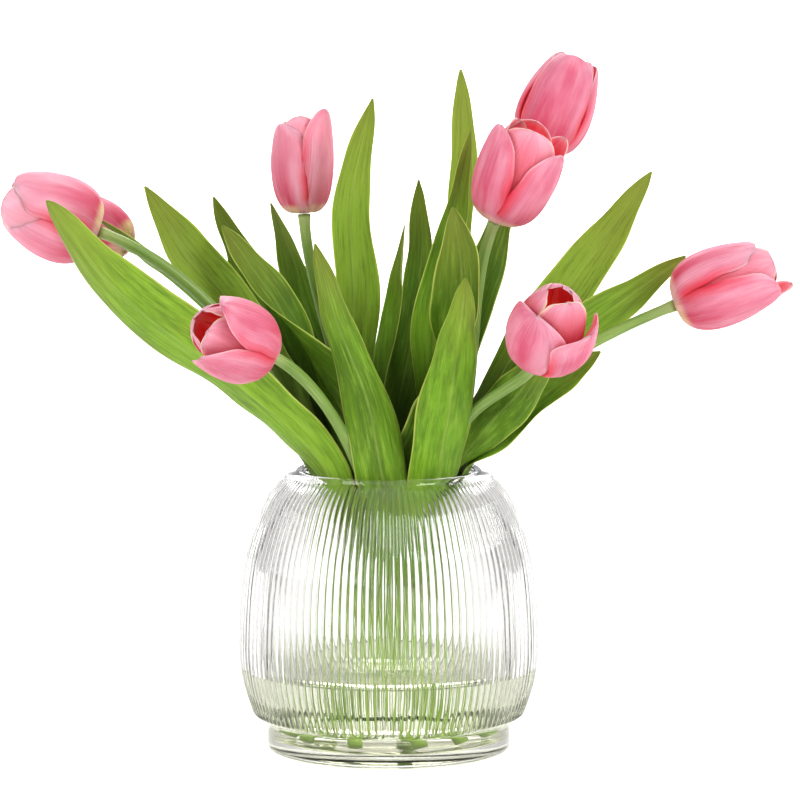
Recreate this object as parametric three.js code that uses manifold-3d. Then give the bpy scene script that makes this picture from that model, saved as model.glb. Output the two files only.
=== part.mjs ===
// Eight cut tulips with their leaves, standing in a ribbed glass vase of water.
// Millimetres, +Z up. The origin is the middle of the vase's underside, and -Y is the front.
import * as THREE from 'three';
import { mergeVertices } from 'three/addons/utils/BufferGeometryUtils.js';
import Module from 'manifold-3d';

const wasm = await Module();
wasm.setup();

// Driving dimensions
const CLEARANCE = 0.3;
const VASE_HEIGHT = 160.5;
const VASE_WALL = 4.5;
const RIM_RADIUS = 53;
const FOOT_RADIUS = 69.2;
const FOOT_HEIGHT = 17;
const FOOT_FILLET = 2.7;
const FLOOR_THICKNESS = 7;
const FOOT_WALL = 6.2;
const RIBS = 120;
// The bell has a facet for every two ribs, and the foot and the hollow have fewer
const BELL_SIDES = RIBS / 2;
const FOOT_SIDES = RIBS / 3;
const HOLLOW_SIDES = RIBS / 4;
const WATER_LEVEL = 49.5;

const NECK_HEIGHT = 160;
const STEM_RING = 38.5;
const STEM_RADIUS_AT_FOOT = 3.9;
const STEM_RADIUS_AT_BLOOM = 3.1;
const STEM_FOOT_RING = 43;
const STEM_FOOT_HEIGHT = 9.1;
const STEM_SIDES = 8;
const STEM_STEPS = 11;
// Each stem leans across the vase, and its foot misses the far side by this angle
const CROSSING_ANGLE = 48;

const LEAF_THICKNESS = 0.9;
const LEAF_SEAT = 4.6;
const LEAF_ROWS = 9;
const LEAF_COLUMNS = 4;
const TEPAL_THICKNESS = 0.8;
const TEPAL_ROWS = 5;
const TEPAL_COLUMNS = 3;
const TEPALS = 6;
const BLOOM_LIFT = 1;
const RECEPTACLE_RADIUS = 6.4;
const RECEPTACLE_HEIGHT = 3.2;
// Outer tepals stand this far off the bloom's half width, and inner ones this far within it
const OUTER_OFFSET = 1;
const INNER_OFFSET = 2;
// Shares of the bloom's width that outer and inner tepals take to each side, the widest angle
// they bend round it, in radians, and how far their margins are drawn in
const OUTER_WIDTH = 0.47;
const INNER_WIDTH = 0.42;
const OUTER_SPREAD = 1;
const INNER_SPREAD = 0.85;
const TEPAL_HUG = 0.4;
// Their narrow base, how round they are at it, and how far out they run at their foot
const TEPAL_CLAW = 0.03;
const TEPAL_ROUNDNESS = 0.75;
const TEPAL_FLARE = 1.36;
const PISTIL_SHARE = 0.34;
const STAMEN_TILT = 9;
const STATIONS = 200;

// Each stem: the azimuth at which it leans on the vase's neck, where its bloom sits and which way
// the bloom looks. bow is how far the stem keeps its lean above the neck before it bends.
const STEMS = {
  a: { neck: -166, top: [-162.7, -14, 296.3], axis: [-52, -4, 19] },
  b: { neck: 160, top: [-148.8, 32, 284.6], axis: [-46, 22, 22] },
  c: { neck: 115, top: [-48.5, 42, 301.5], axis: [-2, 3, 53], bow: 0.6 },
  d: { neck: 72, top: [85.8, 64, 335.9], axis: [24, 8, 57], ring: 45.3 },
  e: { neck: 30, top: [59.8, -14, 302.5], axis: [23, -10, 56] },
  f: { neck: -10, top: [162, 2, 253.3], axis: [57, -8, 24] },
  g: { neck: -50, top: [82.7, -72, 231.7], axis: [12, -36, 40], ring: 36, via: [45, -39, 195] },
  h: { neck: -112, top: [-67.2, -88, 236.4], axis: [-36, -34, 20] },
};

// Each bloom: its length, its width, how far its mouth closes (0 shut, 1 straight), its turn, and
// flare where it has a narrower foot than the rest. The tepals lie 60 degrees apart, 0, 2 and 4
// outside and 1, 3 and 5 inside, and tepals says what differs on single ones: shares of the length
// and width, the mouth, how far they bow, how pointed they are, and a turn in degrees.
const BLOOMS = {
  a: { length: 53.5, width: 46, mouth: 0.42, turn: 58, tepals: {
    0: { mouth: 0.6 }, 4: { length: 0.98, mouth: 0.5 }, 5: { length: 1.05, mouth: 0.6 } } },
  b: { length: 55, width: 32, mouth: 0.45, turn: 60, tepals: {} },
  c: { length: 52, width: 34, mouth: 0.6, flare: 1.12, turn: 60, tepals: {
    0: { length: 1.13, width: 0.98, mouth: 0.95, point: 0.62, shift: -4 }, 2: { mouth: 0.5 },
    4: { length: 0.98, width: 1.08, mouth: 0.75, shift: 5 },
    5: { length: 1.06, width: 1.05, mouth: 0.7 } } },
  d: { length: 57, width: 40, mouth: 0.5, turn: -6, tepals: {
    0: { mouth: 0.55, shift: 2 }, 2: { mouth: 0.6 } } },
  e: { length: 57, width: 41, mouth: 0.6, flare: 1.18, turn: 60, tepals: {
    0: { length: 0.88, mouth: 1.0, bow: 1.25 }, 1: { length: 0.98, width: 0.9, mouth: 1.15 },
    2: { length: 1.03, mouth: 0.5 }, 4: { length: 0.95, mouth: 1.0, point: 0.6, shift: 3 },
    5: { length: 1.03, width: 1.3, mouth: 0.85 } } },
  f: { length: 59, width: 41, mouth: 0.4, turn: 42, tepals: {
    0: { mouth: 0.8 }, 1: { length: 1.1, width: 0.85, mouth: 0.75 }, 3: { mouth: 0.5 },
    4: { length: 0.92, mouth: 0.7 }, 5: { length: 1.04, width: 1.1, mouth: 0.6 } } },
  g: { length: 53, width: 42, mouth: 0.4, turn: -32, tepals: {
    0: { length: 0.9, width: 1.14, mouth: 0.85 }, 1: { length: 1.06, width: 1.1, mouth: 0.42 },
    2: { length: 0.75, width: 1.1, mouth: 1.1, bow: 1.3, point: 0.24, shift: -24 },
    3: { shift: -18, mouth: 0.3 }, 4: { mouth: 0.25, shift: -24 }, 5: { mouth: 0.38 } } },
  h: { length: 50, width: 40, mouth: 0.4, turn: 57, tepals: {
    0: { length: 1.04, mouth: 0.9, point: 0.6 }, 2: { mouth: 0.37 }, 3: { mouth: 0.32 },
    4: { mouth: 0.95, point: 0.6, shift: 11 }, 5: { length: 1.05, width: 1.08, mouth: 0.5, shift: -4 } } },
};
const TEPAL_DEFAULTS = { shift: 0, length: 1, width: 1, point: 0.5, bow: 1.17 };

// Each leaf: the height at which it leaves its stem, the ring and azimuth at which it passes the
// vase's neck, points on to its tip, its width, and the turn of its face at the tip: at 0 its hollow
// side looks to the front, at 180 to the back. lift moves it off its stem, lean tilts it in the neck,
// belly and point shape its outline towards the base and the tip, and gutter is how far it folds.
const LEAVES = {
  a_1: { root: 112, lift: 6.5, ring: 46, azimuth: -136,
    via: [[-81, -42, 212], [-147, -56, 265], [-189, -60, 318]],
    width: 41, face: 150, belly: 1.0, point: 0.65, lean: 6 },
  a_2: { root: 126, ring: 45, azimuth: -172, via: [[-60, -16, 183], [-92, -20, 210], [-134, -20, 239]],
    width: 28, face: 120, lean: 10 },
  b_1: { root: 110, ring: 45.5, azimuth: 164, via: [[-99, 18, 243], [-137, 16, 278], [-165, 11, 302]],
    width: 24, face: 120 },
  b_2: { root: 116, ring: 33, azimuth: 168, via: [[-82, 15, 243], [-116, 14, 286], [-138, 10, 320]],
    width: 34, face: 5 },
  c_1: { root: 126, ring: 45.5, azimuth: 107.5, via: [[-43, 57, 234], [-56, 62, 276], [-68, 62, 306]],
    width: 27, face: -40 },
  c_2: { root: 112, ring: 33, azimuth: 129, via: [[-20, 16, 255], [-21, 12, 312], [-9, 6, 370]],
    width: 30, face: 0 },
  c_3: { root: 112, lift: 4, ring: 45.5, azimuth: 136,
    via: [[-68, 38, 241], [-86, 37, 282], [-100, 34, 312]],
    width: 29, face: -30, belly: 1.2 },
  d_1: { root: 110, lift: 3, ring: 45.5, azimuth: 89, via: [[1, 48, 222], [5, 52, 257], [9, 54, 294]],
    width: 20, face: -60 },
  d_2: { root: 118, lift: 6, ring: 30, azimuth: 90, via: [[13, 30, 230], [19, 31, 282], [17, 31, 322]],
    width: 24, face: -30, gutter: 48 },
  d_3: { root: 131, ring: 40.5, azimuth: 74, via: [[34, 42, 252], [43, 44, 321], [41, 46, 384]],
    width: 18, face: 0, curl: 30, lean: 8, inner: true, point: 0.6 },
  e_1: { root: 112, ring: 33, azimuth: 40, via: [[26, 8, 250], [38, 6, 307], [46, 0, 352]],
    width: 23, face: 10, gutter: 38 },
  e_2: { root: 132, ring: 38.6, azimuth: 54, via: [[45, 27, 242], [62, 31, 293], [75, 34, 330]],
    width: 26, face: 0, lean: 8 },
  e_3: { root: 122, lift: 7, ring: 45, azimuth: 41, via: [[62, 26, 203], [113, 34, 274], [150, 38, 326]],
    width: 29, face: 10, belly: 1.45, lean: -14 },
  f_1: { root: 108, lift: 6.5, ring: 46.8, azimuth: 14.8,
    via: [[69, -2, 205], [115, 9, 242], [169, 24, 279]],
    width: 29, face: 0, belly: 1.15, lean: -12, curl: 20 },
  f_2: { root: 142, ring: 41.5, azimuth: -30, via: [[58, -31, 191], [75, -45, 212], [91, -52, 240]],
    width: 26, face: 170, belly: 1.7, lean: -18, turnBy: [0.3, 175] },
  f_3: { root: 130, lift: 6.4, ring: 46.2, azimuth: -14,
    via: [[59, -18, 180], [88, -21, 205], [119, -26, 230]],
    width: 24, face: -45, belly: 1.6, lean: 4, turnBy: [0.3, -35] },
  g_1: { root: 112, ring: 29.5, azimuth: -52, via: [[36, -24, 219], [41, -30, 271], [36, -34, 312]],
    width: 46, face: 0, gutter: 42, belly: 0.7 },
  g_2: { root: 116, lift: 2, ring: 45.5, azimuth: -53, via: [[34, -56, 204], [38, -58, 237], [43, -50, 274]],
    width: 36, face: 180, lean: -8, belly: 0.58, point: 0.7 },
  h_1: { root: 100, ring: 45.5, azimuth: -94.6, via: [[-12, -48, 205], [-29, -46, 250], [-41, -40, 292]],
    width: 30, face: 180, belly: 0.42, point: 0.7 },
  h_2: { root: 116, ring: 30, azimuth: -105, via: [[-29, -14, 201], [-65, -2, 257], [-94, 6, 298]],
    width: 36, face: 20, gutter: 42 },
};

const LEAF_DEFAULTS = { lift: 1.2, belly: 0.85, point: 0.75, lean: 12, gutter: 28, inner: false };
const LEAF_STEP = 14;
const LEAF_OPENS_BY = 0.25;

// Materials
const glass = new THREE.MeshStandardMaterial({ color: '#e8eeec', roughness: 0.05, metalness: 0 });
const water = new THREE.MeshStandardMaterial({ color: '#dfeeea', roughness: 0.03, metalness: 0 });
const stemSkin = new THREE.MeshStandardMaterial({ color: '#8ba265', roughness: 0.5, metalness: 0 });
const leafSkin = new THREE.MeshStandardMaterial({ color: '#5f9a2c', roughness: 0.45, metalness: 0 });
const tepalSkin = new THREE.MeshStandardMaterial({ color: '#ec7f9c', roughness: 0.5, metalness: 0 });
const pistilSkin = new THREE.MeshStandardMaterial({ color: '#cfd28a', roughness: 0.6, metalness: 0 });

// Small helpers
const point = (values) => new THREE.Vector3(...values);
const smooth = (share) => THREE.MathUtils.smoothstep(share, 0, 1);
const radians = THREE.MathUtils.degToRad;

function polar(radius, azimuth, height) {
  const angle = radians(azimuth);
  return new THREE.Vector3(radius * Math.cos(angle), radius * Math.sin(angle), height);
}

// The part of a direction that is square to a tangent, at unit length
function squareTo(direction, tangent) {
  return direction.clone().addScaledVector(tangent, -direction.dot(tangent)).normalize();
}

// The shortest way from one angle to another, in degrees
function shortestTurn(from, to) {
  return THREE.MathUtils.euclideanModulo(to - from + 180, 360) - 180;
}

// Solids for cutting and joining
function toSolid(geometry) {
  const bare = geometry.clone();
  bare.deleteAttribute('normal');
  bare.deleteAttribute('uv');
  const merged = mergeVertices(bare, 1e-4);
  return new wasm.Manifold(new wasm.Mesh({
    numProp: 3,
    vertProperties: Float32Array.from(merged.getAttribute('position').array),
    triVerts: Uint32Array.from(merged.getIndex().array),
  }));
}

function toGeometry(solid) {
  const mesh = solid.getMesh();
  const geometry = new THREE.BufferGeometry();
  geometry.setAttribute('position', new THREE.BufferAttribute(Float32Array.from(mesh.vertProperties), 3));
  geometry.setIndex(new THREE.BufferAttribute(Uint32Array.from(mesh.triVerts), 1));
  geometry.computeVertexNormals();
  return geometry;
}

function largestPiece(solid) {
  const pieces = solid.decompose();
  return pieces.reduce((best, piece) => (piece.volume() > best.volume() ? piece : best));
}

function named(name, geometry, material) {
  const mesh = new THREE.Mesh(geometry, material);
  mesh.name = name;
  return mesh;
}

// A closed thin blade around a surface. Both faces are split into triangles alike, so a waved
// blade keeps its thickness.
function bladeGeometry(surface, rows, columns, thickness) {
  const across = columns + 1;
  const middle = [];
  for (let row = 0; row <= rows; row += 1) {
    for (let column = 0; column <= columns; column += 1) {
      middle.push(surface(row / rows, (2 * column) / columns - 1));
    }
  }
  const at = (row, column) => middle[row * across + column];
  const front = [];
  const back = [];
  for (let row = 0; row <= rows; row += 1) {
    for (let column = 0; column <= columns; column += 1) {
      const along = at(Math.min(row + 1, rows), column).clone().sub(at(Math.max(row - 1, 0), column));
      const sideways = at(row, Math.min(column + 1, columns)).clone().sub(at(row, Math.max(column - 1, 0)));
      const offset = along.cross(sideways).setLength(thickness / 2);
      front.push(...at(row, column).clone().add(offset).toArray());
      back.push(...at(row, column).clone().sub(offset).toArray());
    }
  }
  const count = middle.length;
  const triangles = [];
  for (let row = 0; row < rows; row += 1) {
    for (let column = 0; column < columns; column += 1) {
      const a = row * across + column;
      const b = a + across;
      const c = b + 1;
      const d = a + 1;
      triangles.push(a, b, c, a, c, d);
      triangles.push(a + count, c + count, b + count, a + count, d + count, c + count);
    }
  }
  const edge = [];
  for (let column = 0; column < columns; column += 1) edge.push(column);
  for (let row = 0; row < rows; row += 1) edge.push(row * across + columns);
  for (let column = columns; column > 0; column -= 1) edge.push(rows * across + column);
  for (let row = rows; row > 0; row -= 1) edge.push(row * across);
  edge.forEach((here, index) => {
    const next = edge[(index + 1) % edge.length];
    triangles.push(here, next, next + count, here, next + count, here + count);
  });
  const geometry = new THREE.BufferGeometry();
  geometry.setAttribute('position', new THREE.Float32BufferAttribute([...front, ...back], 3));
  geometry.setIndex(triangles);
  return geometry;
}

// The vase: a bell on a plain foot
const bellCurve = new THREE.SplineCurve([
  new THREE.Vector2(77, 20.8),
  new THREE.Vector2(83.2, 41),
  new THREE.Vector2(85.2, 66),
  new THREE.Vector2(81.6, 108),
  new THREE.Vector2(70.4, 141),
  new THREE.Vector2(60, 154.8),
  new THREE.Vector2(RIM_RADIUS, VASE_HEIGHT),
]);

// The inside follows the bell at the wall's thickness, down to the hollow of the foot
function insideOutline() {
  const outline = [];
  for (const share of [0.13, 0.28, 0.5, 0.7, 0.86]) {
    const outside = bellCurve.getPointAt(share);
    const tangent = bellCurve.getTangentAt(share);
    outline.push(new THREE.Vector2(outside.x - VASE_WALL * tangent.y, outside.y + VASE_WALL * tangent.x));
  }
  return [
    new THREE.Vector2(0, FLOOR_THICKNESS),
    new THREE.Vector2(FOOT_RADIUS - FOOT_WALL - 2, FLOOR_THICKNESS),
    new THREE.Vector2(FOOT_RADIUS - FOOT_WALL, FOOT_HEIGHT - 1),
    new THREE.Vector2(FOOT_RADIUS + 2, FOOT_HEIGHT + 8),
    ...outline,
    new THREE.Vector2(RIM_RADIUS - VASE_WALL + 0.9, VASE_HEIGHT),
  ];
}

function vaseSolid() {
  const bell = new THREE.LatheGeometry([
    new THREE.Vector2(0, FOOT_HEIGHT - 2),
    new THREE.Vector2(FOOT_RADIUS - 1, FOOT_HEIGHT - 2),
    new THREE.Vector2(FOOT_RADIUS, FOOT_HEIGHT),
    ...bellCurve.getSpacedPoints(6),
    new THREE.Vector2(0, VASE_HEIGHT),
  ], BELL_SIDES);
  const foot = new THREE.LatheGeometry([
    new THREE.Vector2(0, 0),
    new THREE.Vector2(FOOT_RADIUS - FOOT_FILLET, 0),
    new THREE.Vector2(FOOT_RADIUS - FOOT_FILLET * 0.3, FOOT_FILLET * 0.3),
    new THREE.Vector2(FOOT_RADIUS, FOOT_FILLET),
    new THREE.Vector2(FOOT_RADIUS, FOOT_HEIGHT - 1),
    new THREE.Vector2(0, FOOT_HEIGHT - 1),
  ], FOOT_SIDES);
  const hollow = new THREE.LatheGeometry([
    ...insideOutline(),
    new THREE.Vector2(RIM_RADIUS - VASE_WALL + 0.9, VASE_HEIGHT + 5),
    new THREE.Vector2(0, VASE_HEIGHT + 5),
  ], HOLLOW_SIDES);
  return toSolid(upright(bell)).add(toSolid(upright(foot))).subtract(toSolid(upright(hollow)));
}

// A lathe turns around Y, and the vase stands along Z
function upright(geometry) {
  return geometry.rotateX(Math.PI / 2);
}

// The water fills the vase to its level, with a plain hole for each stem
function waterSolid() {
  const outline = [new THREE.Vector2(0, FLOOR_THICKNESS + CLEARANCE)];
  for (const spot of insideOutline().slice(1)) {
    if (spot.y < WATER_LEVEL) outline.push(new THREE.Vector2(spot.x - CLEARANCE * 1.6, spot.y + CLEARANCE));
  }
  const last = outline[outline.length - 1];
  outline.push(new THREE.Vector2(last.x + 0.4, WATER_LEVEL));
  outline.push(new THREE.Vector2(0, WATER_LEVEL));
  let solid = toSolid(upright(new THREE.LatheGeometry(outline, HOLLOW_SIDES)));
  for (const stem of Object.values(STEMS)) {
    solid = solid.subtract(stemSolid(stem, CLEARANCE, 4));
  }
  return solid;
}

// A stem runs straight from the vase's floor to the neck, then bends up to its bloom. Below its
// foot the line can go on, for a hole that is deeper than the stem.
function stemCurve(stem, below = 0) {
  const neck = polar(stem.ring ?? STEM_RING, stem.neck, NECK_HEIGHT);
  const foot = polar(STEM_FOOT_RING, stem.neck + 180 - CROSSING_ANGLE, STEM_FOOT_HEIGHT);
  const top = point(stem.top);
  const axis = point(stem.axis).normalize();
  const lean = neck.clone().sub(foot).normalize();
  const curve = new THREE.CurvePath();
  curve.add(new THREE.LineCurve3(foot.clone().addScaledVector(lean, -below), neck));
  if (stem.via) {
    const via = point(stem.via);
    const way = top.clone().sub(neck).normalize();
    const first = via.distanceTo(neck);
    const second = top.distanceTo(via);
    curve.add(new THREE.CubicBezierCurve3(neck, neck.clone().addScaledVector(lean, (first * 0.8) / 3),
      via.clone().addScaledVector(way, -first / 3), via));
    curve.add(new THREE.CubicBezierCurve3(via, via.clone().addScaledVector(way, second / 3),
      top.clone().addScaledVector(axis, -second / 3), top));
  } else {
    const span = top.distanceTo(neck) / 3;
    curve.add(new THREE.CubicBezierCurve3(neck, neck.clone().addScaledVector(lean, span * (stem.bow ?? 1)),
      top.clone().addScaledVector(axis, -span), top));
  }
  return curve;
}

// A round tube along the stem's line, drawn in from its foot to its bloom
function stemSolid(stem, extra = 0, below = 0) {
  const curve = stemCurve(stem, below);
  const section = new THREE.Shape();
  section.absarc(0, 0, STEM_RADIUS_AT_FOOT + extra, 0, 2 * Math.PI);
  const geometry = new THREE.ExtrudeGeometry(section, {
    steps: STEM_STEPS, curveSegments: STEM_SIDES / 2, extrudePath: curve, bevelEnabled: false,
  });
  const stations = curve.getSpacedPoints(STEM_STEPS);
  const position = geometry.getAttribute('position');
  const corner = new THREE.Vector3();
  for (let index = 0; index < position.count; index += 1) {
    corner.fromBufferAttribute(position, index);
    const distances = stations.map((station) => station.distanceTo(corner));
    const nearest = distances.indexOf(Math.min(...distances));
    const radius = THREE.MathUtils.lerp(STEM_RADIUS_AT_FOOT, STEM_RADIUS_AT_BLOOM, nearest / STEM_STEPS);
    corner.sub(stations[nearest]).setLength(radius + extra).add(stations[nearest]);
    position.setXYZ(index, corner.x, corner.y, corner.z);
  }
  return toSolid(geometry);
}

// The middle line of a leaf: it clasps its stem, passes the vase's neck and follows its own points
function leafCurve(leaf, stem) {
  const line = stemCurve(stem).getSpacedPoints(STATIONS);
  const start = line.findIndex((spot) => spot.z >= leaf.root);
  const root = line[start];
  const tangent = line[start + 1].clone().sub(line[start - 1]).normalize();
  const inside = leaf.inner || leaf.ring <= STEM_RING;
  const seatOff = (spot, distance) => {
    const away = squareTo(new THREE.Vector3(spot.x, spot.y, 0), tangent);
    return spot.clone().addScaledVector(away, inside ? -distance : distance);
  };
  const second = root.clone().addScaledVector(tangent, LEAF_STEP);
  return new THREE.CatmullRomCurve3([
    seatOff(root, LEAF_SEAT),
    seatOff(second, LEAF_SEAT + leaf.lift),
    polar(leaf.ring, leaf.azimuth, NECK_HEIGHT + 1),
    ...leaf.via.map(point),
  ], false, 'centripetal');
}

// Which way the hollow side looks at a point of the leaf: to the vase's axis up to the neck, and
// from there it turns to the leaf's own face
function leafFacing(leaf, curve) {
  const line = curve.getSpacedPoints(STATIONS);
  const gaps = line.map((spot) => Math.abs(spot.z - NECK_HEIGHT));
  const neckShare = gaps.indexOf(Math.min(...gaps)) / STATIONS;
  const axesAt = (share) => {
    const tangent = curve.getTangentAt(share);
    const front = squareTo(new THREE.Vector3(0, -1, 0), tangent);
    return { tangent, front, across: tangent.clone().cross(front) };
  };
  const inwardTurn = (share) => {
    const { tangent, front, across } = axesAt(share);
    const spot = curve.getPointAt(share);
    const inward = squareTo(new THREE.Vector3(-spot.x, -spot.y, 0), tangent);
    return THREE.MathUtils.radToDeg(Math.atan2(inward.dot(across), inward.dot(front))) + leaf.lean;
  };
  const neckTurn = inwardTurn(neckShare);
  const [halfway, halfwayTurn] = leaf.turnBy ?? [1, leaf.face];
  const turnAt = (share) => {
    if (share < neckShare) return inwardTurn(share);
    const above = (share - neckShare) / (1 - neckShare);
    const first = shortestTurn(neckTurn, halfwayTurn) * smooth(above / halfway);
    if (halfway === 1) return neckTurn + first;
    const last = shortestTurn(halfwayTurn, leaf.face) * smooth((above - halfway) / (1 - halfway));
    return neckTurn + first + last;
  };
  return (share) => {
    const { tangent, front, across } = axesAt(share);
    const turn = radians(turnAt(share));
    const face = front.clone().multiplyScalar(Math.cos(turn)).addScaledVector(across, Math.sin(turn));
    return { face, side: face.clone().cross(tangent) };
  };
}

// Half the width of a leaf, from its clasping base over its belly to its pointed tip
function leafHalfWidth(leaf, share) {
  const base = 0.1;
  const shape = (at) => (at + base) ** leaf.belly * (1 - at) ** leaf.point;
  const widest = (leaf.belly - base * leaf.point) / (leaf.belly + leaf.point);
  return Math.max((leaf.width / 2) * (shape(share) / shape(widest)), 0.7);
}

// A leaf is an arc across its middle line: rolled round its stem at the base, a shallow gutter
// further up, and waved along its edges, in and out and up and down
function leafSurface(leaf, stem) {
  const curve = leafCurve(leaf, stem);
  const facing = leafFacing(leaf, curve);
  const baseCurl = radians(leaf.curl ?? (leaf.ring > STEM_RING ? 40 : 35));
  const gutter = radians(leaf.gutter);
  const waveHeight = 1.5;
  const swayWidth = 1.3;
  return (share, side) => {
    const half = leafHalfWidth(leaf, share);
    const open = THREE.MathUtils.clamp(share / LEAF_OPENS_BY, 0, 1);
    const curl = Math.min(THREE.MathUtils.lerp(baseCurl, gutter, open), half / (LEAF_SEAT + 0.4));
    const fade = THREE.MathUtils.clamp(Math.min((share - 0.3) / 0.2, (1 - share) / 0.15), 0, 1);
    const along = 2 * Math.PI * share;
    const right = side > 0 ? 1 : 0;
    const sway = side * Math.abs(side) * Math.sin(1.6 * along + leaf.width * 2 + right * 0.9);
    const wave = side * side * Math.sin(2.2 * along + leaf.width + right * 1.9);
    const sideways = (half * Math.sin(curl * side)) / curl + swayWidth * fade * sway;
    const raised = (half * (1 - Math.cos(curl * side))) / curl + waveHeight * fade * wave;
    const frame = facing(share);
    const middle = curve.getPointAt(share);
    return middle.addScaledVector(frame.side, sideways).addScaledVector(frame.face, raised);
  };
}

function leafSolid(leaf, stem) {
  const blade = bladeGeometry(leafSurface(leaf, stem), LEAF_ROWS, LEAF_COLUMNS, LEAF_THICKNESS);
  return largestPiece(toSolid(blade).subtract(stemSolid(stem, CLEARANCE)));
}

// A tepal in its bloom's own frame, with Z along the bloom: a bowed blade round the bloom's middle.
// Its rows lie closer at its foot and tip, and its margins are drawn in.
function tepalSurface(bloom, index) {
  const outer = index % 2 === 0;
  const tepal = { ...TEPAL_DEFAULTS, mouth: bloom.mouth, ...bloom.tepals[index] };
  const radius = bloom.width / 2 + (outer ? OUTER_OFFSET : -INNER_OFFSET);
  const length = bloom.length * tepal.length;
  const start = outer ? new THREE.Vector2(4.4, 0) : new THREE.Vector2(3, 1.8);
  const profile = new THREE.CubicBezierCurve(
    start,
    new THREE.Vector2((bloom.flare ?? TEPAL_FLARE) * radius, start.y - 0.03 * length),
    new THREE.Vector2(tepal.bow * radius, 0.72 * length),
    new THREE.Vector2(tepal.mouth * radius, length),
  );
  const shape = (at) => (at + TEPAL_CLAW) ** TEPAL_ROUNDNESS * (1 - at) ** tepal.point;
  const peak = shape((TEPAL_ROUNDNESS - TEPAL_CLAW * tepal.point) / (TEPAL_ROUNDNESS + tepal.point));
  const widest = bloom.width * (outer ? OUTER_WIDTH : INNER_WIDTH) * tepal.width;
  const azimuth = (index * 360) / TEPALS + tepal.shift;
  const outward = polar(1, azimuth, 0);
  const sideways = polar(1, azimuth + 90, 0);
  return (at, side) => {
    const share = (1 - Math.cos(at * Math.PI)) / 2;
    const spot = profile.getPoint(share);
    const half = Math.max(widest * (shape(share) / peak), 0.8);
    const bend = Math.max(spot.x, 4);
    const spread = Math.min(half / bend, outer ? OUTER_SPREAD : INNER_SPREAD);
    const across = (half * Math.sin(spread * side)) / spread;
    const hug = TEPAL_HUG * Math.abs(side) ** 2.5 * smooth(share / 0.25);
    const away = spot.x - bend * (1 - Math.cos(spread * side)) - hug;
    return outward.clone().multiplyScalar(away).addScaledVector(sideways, across).setZ(spot.y);
  };
}

// Three outer and three inner tepals, fused to the receptacle at the head of the stem
function bloomSolid(bloom) {
  const receptacle = new THREE.LatheGeometry([
    new THREE.Vector2(0, CLEARANCE - BLOOM_LIFT),
    new THREE.Vector2(STEM_RADIUS_AT_BLOOM, CLEARANCE - BLOOM_LIFT),
    new THREE.Vector2(RECEPTACLE_RADIUS, 0.8),
    new THREE.Vector2(RECEPTACLE_RADIUS - 2, RECEPTACLE_HEIGHT),
    new THREE.Vector2(0, RECEPTACLE_HEIGHT),
  ], TEPALS);
  let solid = toSolid(upright(receptacle));
  for (let index = 0; index < TEPALS; index += 1) {
    const surface = tepalSurface(bloom, index);
    solid = solid.add(toSolid(bladeGeometry(surface, TEPAL_ROWS, TEPAL_COLUMNS, TEPAL_THICKNESS)));
  }
  return solid;
}

// The pistil and its six stamens, inside the bloom
function pistilSolid(bloom) {
  const foot = RECEPTACLE_HEIGHT + CLEARANCE;
  const height = bloom.length * PISTIL_SHARE;
  const ovary = new THREE.LatheGeometry([
    new THREE.Vector2(0, foot),
    new THREE.Vector2(3.9, foot),
    new THREE.Vector2(2.2, foot + 1),
    new THREE.Vector2(3, height),
    new THREE.Vector2(0, height),
  ], TEPALS);
  let solid = toSolid(upright(ovary));
  for (let index = 0; index < TEPALS; index += 1) {
    const stamen = new THREE.CylinderGeometry(0.9, 0.6, height * 0.8, 3);
    stamen.rotateX(Math.PI / 2).translate(0, 0, (height * 0.8) / 2);
    stamen.applyMatrix4(new THREE.Matrix4().makeRotationY(radians(STAMEN_TILT)));
    stamen.translate(2.4, 0, foot + 0.4).rotateZ(radians(30 + (index * 360) / TEPALS));
    solid = solid.add(toSolid(stamen));
  }
  return solid;
}

// A bloom's frame: Z along its axis, X to the front, turned about its axis
function bloomGroup(key) {
  const stem = STEMS[key];
  const bloom = BLOOMS[key];
  const along = point(stem.axis).normalize();
  const front = squareTo(new THREE.Vector3(0, -1, 0), along);
  const frame = new THREE.Matrix4().makeBasis(front, along.clone().cross(front), along);
  const group = new THREE.Group();
  group.quaternion.setFromRotationMatrix(frame);
  group.rotateZ(radians(bloom.turn));
  group.position.copy(point(stem.top)).addScaledVector(along, BLOOM_LIFT);
  group.add(named(`tulip_${key}_bloom`, toGeometry(bloomSolid(bloom)), tepalSkin));
  group.add(named(`tulip_${key}_pistil`, toGeometry(pistilSolid(bloom)), pistilSkin));
  return group;
}

function tulipGroup(key) {
  const stem = STEMS[key];
  const group = new THREE.Group();
  group.add(named(`tulip_${key}_stem`, toGeometry(stemSolid(stem)), stemSkin));
  for (const [name, leaf] of Object.entries(LEAVES)) {
    if (!name.startsWith(key)) continue;
    const solid = leafSolid({ ...LEAF_DEFAULTS, ...leaf }, stem);
    group.add(named(`tulip_${key}_leaf_${name.slice(2)}`, toGeometry(solid), leafSkin));
  }
  group.add(bloomGroup(key));
  return group;
}

const tulipsInVase = new THREE.Group();
tulipsInVase.add(named('vase', toGeometry(vaseSolid()), glass));
tulipsInVase.add(named('water', toGeometry(waterSolid()), water));
for (const key of Object.keys(STEMS)) {
  tulipsInVase.add(tulipGroup(key));
}

export default tulipsInVase;
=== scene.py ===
from math import cos, pi, radians, sin

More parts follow.
